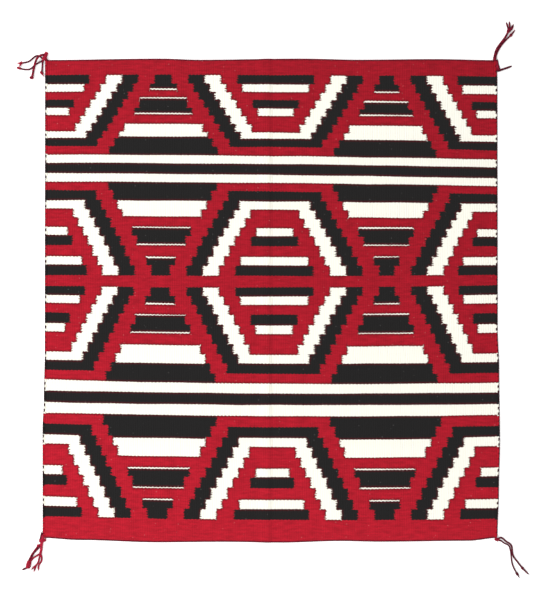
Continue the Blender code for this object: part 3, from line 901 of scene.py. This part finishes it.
def weave_cloth():
    """The cloth as one closed sheet: ribbed along the warp on both faces, every weft line in its mesh."""
    weave = bpy.context.scene.rug_weave
    rng = np.random.default_rng(weave.seed)
    inset = EDGE_CORD_DIAMETER + GAP - TUCK
    width = RIGHT_EDGE[-1].edge - LEFT_EDGE[-1].edge - 2 * inset
    warps = round(width * MM / weave.warp_pitch)
    columns = warps * COLUMNS_PER_WARP
    across = np.linspace(-1, 1, columns + 1)
    warp_number = np.arange(columns + 1) / COLUMNS_PER_WARP
    strips = weave_strips()

    # Weft lines, each rising and falling by turns from warp to warp.
    lines = [weft_line(strips[0], "upper", across, inset)]
    lines += [weft_line(strip, "lower", across, inset) for strip in strips]
    x = np.array([line[0] for line in lines])
    y = np.array([line[1] for line in lines])
    beads = (y[0] - y) * MM / weave.bead_height
    turns = np.where(np.floor(warp_number) % 2 == 0, 1.0, -1.0)
    turns[::COLUMNS_PER_WARP] = 0.0
    uneven = rng.uniform(*BEAD_SPREAD, (len(y), warps + 1))[:, np.floor(warp_number).astype(int)]
    y[1:-1] += (turns * uneven * weave.crenel / MM)[1:-1]

    # In the fields between the hexagons some lines lie higher or lower than beside them.
    for number, (strip, below) in enumerate(zip(strips, strips[1:]), start=1):
        rows = {strip.row, below.row}
        if strip.row == below.row:
            rows.add(TERRACE_ROWS[strip.row].line_towards)
        for shift in BANDS[strip.band].shifts:
            if strip.band == below.band and set(shift.rows) == rows:
                white_row = next(row for row in rows if "W" in line_yarns(row))
                past = past_flank(strip._replace(row=white_row), x[number])
                higher = np.where(x[number] < HEXAGON_CENTRES[1], shift.left, shift.right)
                y[number] += higher * (past > JOINS[-1])

    # Each line also wanders slowly, as a weft beaten down by hand does.
    wave_places = np.linspace(-1, 1, WAVES + 1)
    for line in y[1:-1]:
        line += np.interp(across, wave_places, rng.uniform(-WAVE_HEIGHT, WAVE_HEIGHT, WAVES + 1))

    # The darker yarn presses in over the white beside it.
    white = reach_of_all(strips, x, "W") > 0
    y[1:-1] += (white[:-1].astype(float) - white[1:]) * WHITE_LOSS

    # Faces of both sides: a groove on every third column, and ribs of slightly different heights.
    groove = np.where(np.arange(columns + 1) % COLUMNS_PER_WARP == 0, weave.rib_depth / MM, 0.0)
    rib = rng.uniform(-RIB_SPREAD, RIB_SPREAD, columns + 1) - groove
    rest = crease_height(x) + resting_height(x, y)
    from_side = np.minimum(x - x[:, :1], x[:, -1:] - x)
    from_end = np.minimum(y[0] - y, y - y[-1])
    thin = np.clip(1 - np.minimum(from_side, from_end) / RIM_REACH, 0, 1) ** 2 * RIM_LOSS
    top = np.stack([x, y, rest + CLOTH_THICKNESS + rib - thin], axis=-1)
    bottom = np.stack([x, y, rest + groove + thin], axis=-1)
    points = np.concatenate([top.reshape(-1, 3), bottom.reshape(-1, 3)]) * MM

    # Every corner's line, column, side and strip give it its point and what is stored there.
    row_count = len(strips)
    corner_line, corner_column, corner_side, corner_strip = cloth_corners(row_count, columns)
    faces = corner_side * (row_count + 1) * (columns + 1) + corner_line * (columns + 1) + corner_column

    mesh = bpy.data.meshes.new("woven_cloth")
    mesh.from_pydata(points.tolist(), [], faces.tolist())

    # What the pattern needs at every corner: how far inside the undyed and the not red yarns it lies.
    corner = (corner_strip, corner_column)
    middles = (x[:-1] + x[1:]) / 2
    undyed = reach_of_all(strips, middles, "W")
    not_red = reach_of_all(strips, middles, "WK")
    store_pair(mesh, "yarn_reach", "CORNER", undyed[corner], not_red[corner])

    # How far below a white strip and above another one each corner lies, within its own strip.
    tall = y[:-1] - y[1:]
    nowhere = np.zeros((1, columns + 1), bool)
    above = np.concatenate([nowhere, (reach_of_all(strips, x[1:], "W") > 0)[:-1]])
    below = np.concatenate([white[1:], nowhere])
    from_above = np.stack([np.where(above, 0, FAR), np.where(above, tall, FAR)])
    from_below = np.stack([np.where(below, tall, FAR), np.where(below, 0, FAR)])
    corner = (corner_line - corner_strip, *corner)
    store_pair(mesh, "white_beyond", "CORNER", from_above[corner], from_below[corner])
    warp_numbers = np.tile(warp_number, 2 * len(beads))
    store_pair(mesh, "weave", "POINT", warp_numbers, np.tile(beads.ravel(), 2))

    # Both faces share one flat map, with the rim laid out just beyond them.
    lowest, highest = points.min(axis=0)[:2], points.max(axis=0)[:2]
    flat = points[faces][:, :, :2]
    place = (flat - lowest) / (highest - lowest) * (1 - 2 * MAP_MARGIN) + MAP_MARGIN
    rim = np.arange(len(faces)) >= 2 * row_count * columns
    outward = np.sign(place - 0.5) * (np.abs(place - 0.5) > MAP_RIM_START)
    place += outward * MAP_RIM * (rim[:, None] & (corner_side == 1))[:, :, None]
    mesh.uv_layers.new(name="OFBake").data.foreach_set("uv", place.ravel())

    mesh.polygons.foreach_set("use_smooth", ~rim)
    mesh.materials.append(woven_wool("tapestry_woven_wool"))
    mesh.validate()
    cloth = show(bpy.data.objects.new("woven_cloth", mesh))
    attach(cloth, BODY)
    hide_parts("cloth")
    return cloth


# Cords

YARN_NAMES = {"R": "red", "K": "black", "W": "white"}
SIDE_POINTS = 400
SIDE_CORD_INSET = 0.8
SIDE_CORD_PLUMPNESS = 1.55
SIDE_CORD_RISE = 0.4  # how much higher than the cloth's middle it lies
END_CORD_PLUMPNESS = 1.35
TURN_RING = 1.1  # radius of a weft turn, and of its yarn
TURN_YARN = 0.98
TURN_INWARD = 1.5
TURN_STRETCH = 1.9
TURN_SLANT = 14
TURN_GROUP = 6
TURNS_SHOWN = {"R": 5, "K": 5, "W": 3}  # of each group, before the cord comes to the surface

def twisted_cord_tree():
    """Plies that wind round each route, which carries its cord's radius, twist and tone."""
    sockets = {"Step": "Float", "Plies": "Int", "Ply share": "Float", "Sides": "Int", "Material": "Material"}
    tree, given = new_node_tree("twisted_cord", sockets)
    add = partial(add_node, tree)
    curve = add("GeometryNodeMeshToCurve", {"Mesh": given["Geometry"]})
    curve = add("GeometryNodeResampleCurve", {"Curve": curve, "Length": given["Step"]}, mode="LENGTH")
    curve = add("GeometryNodeSetCurveNormal", {"Curve": curve}, mode="Z_UP")
    copied = {"Geometry": curve, "Amount": given["Plies"]}
    copies = add("GeometryNodeDuplicateElements", copied, give=None, domain="SPLINE").outputs
    numbered = {"Geometry": copies["Geometry"], "Name": "ply", "Value": copies["Duplicate Index"]}
    marked = add("GeometryNodeStoreNamedAttribute", numbered)
    names = ("thick", "twist", "ply")
    thick, twist, ply = (add("GeometryNodeInputNamedAttribute", {"Name": name}) for name in names)
    length = add("GeometryNodeSplineParameter", give="Length")
    turns = add("ShaderNodeMath", length, twist, operation="DIVIDE")
    start = add("ShaderNodeMath", ply, given["Plies"], operation="DIVIDE")
    turns = add("ShaderNodeMath", turns, start, operation="ADD")
    angle = add("ShaderNodeMath", turns, math.tau, operation="MULTIPLY")
    inner_share = add("ShaderNodeMath", 1.0, given["Ply share"], operation="SUBTRACT")
    lean = add("ShaderNodeMath", thick, inner_share, operation="MULTIPLY")
    normal = add("GeometryNodeInputNormal", give="Normal")
    tangent = add("GeometryNodeInputTangent")
    binormal = add("ShaderNodeVectorMath", tangent, normal, operation="CROSS_PRODUCT")
    arms = []
    for axis, wave in ((normal, "COSINE"), (binormal, "SINE")):
        arm = add("ShaderNodeMath", angle, operation=wave)
        arms.append(add("ShaderNodeVectorMath", {0: axis, "Scale": arm}, operation="SCALE"))
    around = add("ShaderNodeVectorMath", arms[0], arms[1], operation="ADD")
    offset = add("ShaderNodeVectorMath", {0: around, "Scale": lean}, operation="SCALE")
    moved = add("GeometryNodeSetPosition", {"Geometry": marked, "Offset": offset})
    ring = add("GeometryNodeCurvePrimitiveCircle", {"Resolution": given["Sides"], "Radius": 1.0})
    ply_radius = add("ShaderNodeMath", thick, given["Ply share"], operation="MULTIPLY")
    tube = {"Curve": moved, "Profile Curve": ring, "Scale": ply_radius, "Fill Caps": True}
    end_tree(tree, add("GeometryNodeCurveToMesh", tube), given["Material"])
    return tree


def twist_cords(name, routes, material, step, plies=2, ply_share=0.56, sides=8):
    """Plied cords along the routes, as one mesh object."""
    tree = bpy.data.node_groups.get("twisted_cord") or twisted_cord_tree()
    values = {"Step": step * MM, "Plies": plies, "Ply share": ply_share, "Sides": sides, "Material": material}
    return run_tree(name, route_object(routes), tree, values)


def weft_turns_tree():
    """Rings of weft round a selvage cord, in short groups between which the cord comes to the surface."""
    sockets = dict.fromkeys(("Pitch", "Ring radius", "Yarn radius", "Slant"), "Float")
    sockets |= {"Group": "Int", "Shown": "Int"}
    sockets |= {"Inward": "Vector", "Stretch": "Vector", "Material": "Material"}
    tree, given = new_node_tree("weft_turns", sockets)
    add = partial(add_node, tree)
    curve = add("GeometryNodeMeshToCurve", {"Mesh": given["Geometry"]})
    spaced = {"Curve": curve, "Length": given["Pitch"]}
    points = add("GeometryNodeCurveToPoints", spaced, give=None, mode="LENGTH").outputs
    axes = {"Primary Axis": points["Tangent"], "Secondary Axis": (0.0, 0.0, 1.0)}
    facing = add("FunctionNodeAxesToRotation", axes, primary_axis="Z", secondary_axis="X")
    lean = add("ShaderNodeCombineXYZ", {"X": given["Slant"]})
    lean = add("FunctionNodeEulerToRotation", {"Euler": lean})
    leaned = {"Rotation": facing, "Rotate By": lean}
    facing = add("FunctionNodeRotateRotation", leaned, rotation_space="LOCAL")
    index = add("GeometryNodeInputIndex")
    place = add("ShaderNodeMath", index, given["Group"], operation="MODULO")
    shown = add("ShaderNodeMath", place, given["Shown"], operation="LESS_THAN")
    ring = add("GeometryNodeCurvePrimitiveCircle", {"Resolution": 12, "Radius": given["Ring radius"]})
    yarn = add("GeometryNodeCurvePrimitiveCircle", {"Resolution": 6, "Radius": given["Yarn radius"]})
    moved = {"Geometry": ring, "Translation": given["Inward"], "Scale": given["Stretch"]}
    ring = add("GeometryNodeTransform", moved)
    turn = add("GeometryNodeCurveToMesh", {"Curve": ring, "Profile Curve": yarn})
    sizes = {"Min": 0.95, "Max": 1.12, "Seed": 3}
    sizes = add("FunctionNodeRandomValue", sizes, give=None, data_type="FLOAT").outputs
    size = next(socket for socket in sizes if socket.enabled)
    placed = {"Points": points["Points"], "Selection": shown, "Instance": turn}
    placed |= {"Rotation": facing, "Scale": size}
    end_tree(tree, add("GeometryNodeInstanceOnPoints", placed), given["Material"])
    return tree


def side_line(side, inset, count):
    """Points down a side of the rug, moved in from the edge, from the top corner to the bottom one."""
    up = np.linspace(1, -1, count)
    _, y = outline_point(side, up, EDGE_CORD_DIAMETER + GAP)
    x, _ = outline_point(side, up, inset)
    height = CLOTH_THICKNESS / 2 + SIDE_CORD_RISE + resting_height(x, y)
    return np.stack([x, y, height], axis=-1)


def end_line(end, inset, count):
    """Points along a warp end of the rug, from corner to corner, over the crease."""
    across = np.linspace(-1, 1, count)
    x, y = outline_point(across, end, inset)
    height = CLOTH_THICKNESS / 2 + crease_height(x) + resting_height(x, y)
    return np.stack([x, y, height], axis=-1)


def edge_yarn_stretches(side):
    """The yarn that turns round the side cord, stretch by stretch from the top."""
    stretches = []
    sample = np.array([float(side)])
    for strip in weave_strips():
        x, upper = weft_line(strip, "upper", sample, 0)
        _, lower = weft_line(strip, "lower", sample, 0)
        yarn = strip.yarns[int(np.searchsorted(JOINS, past_flank(strip, x))[0])]
        if stretches and stretches[-1][0] == yarn:
            stretches[-1] = (yarn, stretches[-1][1], float(lower[0]))
        else:
            stretches.append((yarn, float(upper[0]), float(lower[0])))
    return stretches


def make_side_cord(name, side, materials):
    """A selvage: a dark two-ply cord, and the wefts that turn round it in their own colours."""
    cords = bpy.context.scene.rug_cords
    radius = EDGE_CORD_DIAMETER / 2
    line = side_line(side, SIDE_CORD_INSET, SIDE_POINTS)
    route = Route(line.tolist(), [radius * SIDE_CORD_PLUMPNESS] * len(line), cords.side_twist / MM, tone=0.6)
    pieces = [twist_cords("cord", [route], materials["cord"], step=0.9)]
    tree = bpy.data.node_groups.get("weft_turns") or weft_turns_tree()
    for yarn, label in YARN_NAMES.items():
        routes = []
        for own, upper, lower in edge_yarn_stretches(side):
            part = line[(line[:, 1] <= upper) & (line[:, 1] >= lower)]
            if own == yarn and len(part) > 1:
                # Red turns follow the cloth's red, deeper towards the right and the top.
                deep = 0.55 + 0.27 * side + 0.45 * (upper + lower) * MM
                tone = min(max(deep, 0.0), 1.0) if yarn == "R" else 0.5
                routes.append(Route(part.tolist(), [1.0] * len(part), 1.0, tone))
        values = {
            "Pitch": cords.turn_pitch,
            "Ring radius": TURN_RING * MM,
            "Yarn radius": TURN_YARN * MM,
            "Group": TURN_GROUP,
            "Shown": TURNS_SHOWN[yarn],
            "Slant": math.radians(TURN_SLANT * side),
            "Inward": (0.0, TURN_INWARD * MM * side, 0.0),
            "Stretch": (1.0, TURN_STRETCH, 1.0),
            "Material": materials[label],
        }
        pieces.append(run_tree("turns", route_object(routes), tree, values))
    return join_objects(name, pieces)


def make_end_cord(name, end, material):
    """An end cord: two plies twined between the warps' ends, from corner to corner."""
    cords = bpy.context.scene.rug_cords
    radius = EDGE_CORD_DIAMETER / 2
    line = end_line(end, radius, SIDE_POINTS)
    radii = [radius * END_CORD_PLUMPNESS] * len(line)
    route = Route(line.tolist(), radii, cords.end_twist / MM, tone=0.75)
    return twist_cords(name, [route], material, step=0.8, ply_share=0.52)


# Tassels

KNOT_CORD_RADIUS = 1.3
KNOT_PLUMPNESS = 1.3
KNOT_TURN_POINTS = 14
FIBRES = 16
FIBRE_POINTS = 5
TIP_TAPER = (0.95, 0.75)  # of a free tip's last two points


def towards(heading):
    """The flat direction of a heading in degrees."""
    return Vector((math.cos(math.radians(heading)), math.sin(math.radians(heading))))


def section_points(start, end):
    """Points along one section, which leaves and arrives at the given headings."""
    first = Vector((start.x, start.y))
    last = Vector((end.x, end.y))
    pull = (last - first).length * STRAND_PULL
    second = first + towards(start.heading) * pull
    third = last - towards(end.heading) * pull
    count = max(2, round((last - first).length / STRAND_POINT_SPACING))
    points = []
    for step in range(count + 1):
        t = step / count
        s = 1 - t
        points.append(first * s**3 + second * (3 * s * s * t) + third * (3 * s * t * t) + last * t**3)
    return points


def strand_points(strand, corner, level):
    """A strand's middle line at the given level, except where it is lifted over others."""
    flat = [Vector((strand.way[0].x, strand.way[0].y))]
    for start, end in zip(strand.way, strand.way[1:]):
        flat.extend(section_points(start, end)[1:])
    points = []
    travelled = 0.0
    before = flat[0]
    for point in flat:
        travelled += (point - before).length
        before = point
        left = min(max((strand.lift_until - travelled) / LIFT_RAMP, 0.0), 1.0)
        height = level + strand.lift * left * left * (3 - 2 * left)
        points.append((corner[0] + point.x, corner[1] + point.y, height))
    return points


def knot_route(knot, corner):
    """A knot: the cord wound round itself, turn beside turn."""
    width = knot.width * KNOT_PLUMPNESS
    length = knot.length * KNOT_PLUMPNESS
    cord = min(KNOT_CORD_RADIUS, width * 0.24)
    coil = width / 2 - cord
    turns = max(1.6, (length - 2 * cord) / (2 * cord))
    along = towards(knot.heading).to_3d()
    aside = Vector((-along.y, along.x, 0))
    middle = Vector((corner[0] + knot.x, corner[1] + knot.y, width * 0.4))
    count = round(turns * KNOT_TURN_POINTS)
    points = []
    for step in range(count + 1):
        share = step / count
        angle = math.tau * turns * share
        reach = (share - 0.5) * (length - 2 * cord)
        bulge = coil * (0.75 + 0.25 * math.sin(math.pi * share))
        point = middle + along * (reach + 0.5 * math.sin(2 * angle)) + aside * (bulge * math.cos(angle))
        points.append(tuple(point + Vector((0, 0, 0.8 * bulge * math.sin(angle)))))
    return Route(points, [cord] * len(points), cord * 5, knot.tone)


def is_free(tip, knots, corner):
    """Whether a strand's tip lies outside every knot."""
    x, y = tip[0] - corner[0], tip[1] - corner[1]
    return all(math.hypot(x - knot.x, y - knot.y) >= knot.length / 2 + 1.5 for knot in knots)


def frayed_tip(points, thickness, tone, rng):
    """Loose fibres that splay out of a strand's cut end."""
    tip = Vector(points[-1])
    heading = (tip - Vector(points[-2])).normalized()
    aside = Vector((-heading.y, heading.x, 0))
    fibres = []
    for _ in range(FIBRES):
        spread = rng.uniform(-0.75, 0.75)
        length = rng.uniform(2.0, 5.5)
        rise = rng.uniform(-0.2, 0.5)
        start = tip - heading * 1.2 + aside * rng.uniform(-0.3, 0.3) * thickness
        bend = rng.uniform(-0.5, 0.5)
        fibre = []
        for share in np.linspace(0, 1, FIBRE_POINTS):
            sway = spread * share + bend * share * share
            point = start + heading * (length * share) + aside * (sway * length * 0.5)
            fibre.append((point.x, point.y, max(0.15, point.z + rise * length * share * 0.4)))
        fibres.append(Route(fibre, list(np.linspace(0.2, 0.07, FIBRE_POINTS)), 1.0, tone))
    return fibres


def make_tassel(name, tassel, material, rng):
    """The loose cords of one corner, plied and knotted, with frayed tips, lying on the floor."""
    cords = bpy.context.scene.rug_cords
    corner = [float(value) for value in outline_point(tassel.side, tassel.end, 0)]
    plied = []
    fibres = []
    for order, strand in enumerate(tassel.strands):
        radius = strand.thickness / 2 * PLUMPNESS + FLUFF
        points = strand_points(strand, corner, order * STRAND_LEVEL_STEP + radius)
        radii = [radius] * len(points)
        if is_free(points[-1], tassel.knots, corner):
            radii[-2:] = [radius * share for share in TIP_TAPER]
            fibres += frayed_tip(points, strand.thickness, strand.tone, rng)
        plied.append(Route(points, radii, strand.thickness * cords.twist_share, strand.tone))
    plied += [knot_route(knot, corner) for knot in tassel.knots]
    pieces = [twist_cords("plied", plied, material, step=0.6, plies=3)]
    pieces.append(twist_cords("fibres", fibres, material, step=1.0, plies=1, ply_share=1.0, sides=4))
    return join_objects(name, pieces)


# The stage

CAMERA_DISTANCE = 2.862
LENS = 85
SENSOR_HEIGHT = 36
PICTURE_CENTRE = (-2.93, -0.6)  # what the middle of the picture shows
FLOOR_REACH = 30.0
FLOOR_DROP = 0.0002
FLOOR_GLOW = 0.3
SKY_STRENGTH = 0.56
LIGHT_SIZE = 2.4
LIGHTS = {  # where each soft light hangs, and its power
    "upper_left_light": ((-3.0, 1.6, 3.1), 168),
    "lower_left_light": ((-1.1, -3.2, 3.1), 120),
}


def make_floor():
    """A plain white floor, lit a little from below so that shadows stay faint, wide enough for every view."""
    mesh = bpy.data.meshes.new("floor")
    corners = [(x * FLOOR_REACH, y * FLOOR_REACH, 0) for x, y in ((-1, -1), (1, -1), (1, 1), (-1, 1))]
    mesh.from_pydata(corners, [], [(0, 1, 2, 3)])
    material, _, _ = new_material(
        "backlit_white_acrylic",
        base_color=(*linear("#f4f4f4"), 1),
        roughness=1.0,
        specular_ior_level=0.0,
        emission_color=(1, 1, 1, 1),
        emission_strength=FLOOR_GLOW,
    )
    mesh.materials.append(material)
    floor = show(bpy.data.objects.new("floor", mesh))
    floor.location.z = -FLOOR_DROP


def add_light(name, place, power):
    """A soft square light that faces the rug's middle."""
    light = bpy.data.lights.new(name, "AREA")
    light.size = LIGHT_SIZE
    light.energy = power
    lamp = show(bpy.data.objects.new(name, light))
    lamp.location = place
    lamp.rotation_euler = (-Vector(place)).to_track_quat("-Z", "Y").to_euler()


def set_camera():
    """The camera straight above the rug, with the rug's top edge up in the picture."""
    camera = bpy.data.cameras.new("camera")
    camera.sensor_fit = "VERTICAL"
    camera.sensor_height = SENSOR_HEIGHT
    camera.lens = LENS
    view = show(bpy.data.objects.new("camera", camera))
    x, y = PICTURE_CENTRE
    view.location = (x * MM, y * MM, CAMERA_DISTANCE + CLOTH_THICKNESS * MM)
    bpy.context.scene.camera = view


def set_world():
    world = bpy.data.worlds.new("studio")
    world.use_nodes = True
    background = world.node_tree.nodes["Background"]
    background.inputs["Color"].default_value = (1, 1, 1, 1)
    background.inputs["Strength"].default_value = SKY_STRENGTH
    bpy.context.scene.world = world
    bpy.context.scene.view_settings.view_transform = "Standard"


# Operators


class RUG_OT_lay_stage(bpy.types.Operator):
    """Lay the floor and set the lights and the camera"""

    bl_idname = "rug.lay_stage"
    bl_label = "Lay stage"

    def execute(self, context):
        set_camera()
        set_world()
        make_floor()
        for name, (place, power) in LIGHTS.items():
            add_light(name, place, power)
        return {"FINISHED"}


class RUG_OT_weave_cloth(bpy.types.Operator):
    """Weave the cloth with its terraced bands"""

    bl_idname = "rug.weave_cloth"
    bl_label = "Weave cloth"

    def execute(self, context):
        weave_cloth()
        return {"FINISHED"}


class RUG_OT_twist_edge_cords(bpy.types.Operator):
    """Twist the cords along the sides and the warp ends"""

    bl_idname = "rug.twist_edge_cords"
    bl_label = "Twist edge cords"

    def execute(self, context):
        yarns = context.scene.rug_yarns
        materials = {"cord": plied_wool("plied_selvage_wool", yarns.cord_dark, linear("#240810"))}
        materials["red"] = plied_wool("red_weft_turn_wool", yarns.bright_red, yarns.deep_red)
        for label, color in (("black", yarns.black), ("white", yarns.white)):
            shade = tuple(channel * 0.8 for channel in color)
            materials[label] = plied_wool(f"{label}_weft_turn_wool", color, shade)
        end_wool = plied_wool("plied_end_cord_wool", linear("#a02033"), yarns.cord_dark)
        for name, side in (("left", -1), ("right", 1)):
            cord = make_side_cord(f"selvage_{name}", side, materials)
            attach(cord, BODY)
            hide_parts(f"side_cord_{name}")
        for name, end in (("top", 1), ("bottom", -1)):
            cord = make_end_cord(f"twined_end_{name}", end, end_wool)
            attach(cord, BODY)
            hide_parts(f"end_cord_{name}")
        return {"FINISHED"}


class RUG_OT_tie_tassels(bpy.types.Operator):
    """Tie the tassels at the four corners"""

    bl_idname = "rug.tie_tassels"
    bl_label = "Tie tassels"

    def execute(self, context):
        yarns = context.scene.rug_yarns
        wool = plied_wool("plied_tassel_wool", yarns.cord_red, yarns.cord_dark)
        rng = np.random.default_rng(context.scene.rug_weave.seed)
        for name, tassel in TASSELS.items():
            piece = make_tassel(f"corded_{name}", tassel, wool, rng)
            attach(piece, BODY)
            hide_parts(name)
        return {"FINISHED"}


class RUG_PT_panel(bpy.types.Panel):
    """Settings and steps of the rug"""

    bl_label = "Handwoven rug"
    bl_idname = "RUG_PT_panel"
    bl_space_type = "VIEW_3D"
    bl_region_type = "UI"
    bl_category = "Rug"

    def draw(self, context):
        for group in (context.scene.rug_weave, context.scene.rug_yarns, context.scene.rug_cords):
            box = self.layout.box()
            for name in group.__annotations__:
                box.prop(group, name)
        for operator in OPERATORS:
            self.layout.operator(operator.bl_idname)


SETTINGS = {
    "rug_weave": RugWeaveSettings,
    "rug_yarns": RugYarnSettings,
    "rug_cords": RugCordSettings,
}
OPERATORS = (RUG_OT_lay_stage, RUG_OT_weave_cloth, RUG_OT_twist_edge_cords, RUG_OT_tie_tassels)


def register():
    for name, group in SETTINGS.items():
        bpy.utils.register_class(group)
        setattr(bpy.types.Scene, name, bpy.props.PointerProperty(type=group))
    for kind in (*OPERATORS, RUG_PT_panel):
        bpy.utils.register_class(kind)


def unregister():
    for kind in (RUG_PT_panel, *reversed(OPERATORS)):
        bpy.utils.unregister_class(kind)
    for name, group in reversed(SETTINGS.items()):
        delattr(bpy.types.Scene, name)
        bpy.utils.unregister_class(group)


def main():
    register()
    bpy.ops.rug.lay_stage()
    bpy.ops.rug.weave_cloth()
    bpy.ops.rug.twist_edge_cords()
    bpy.ops.rug.tie_tassels()
    edging = [bpy.data.objects[f"selvage_{side}"] for side in ("left", "right")]
    edging += [bpy.data.objects[f"twined_end_{end}"] for end in ("top", "bottom")]
    edging += [bpy.data.objects[f"corded_{name}"] for name in TASSELS]


if __name__ == "__main__":
    main()
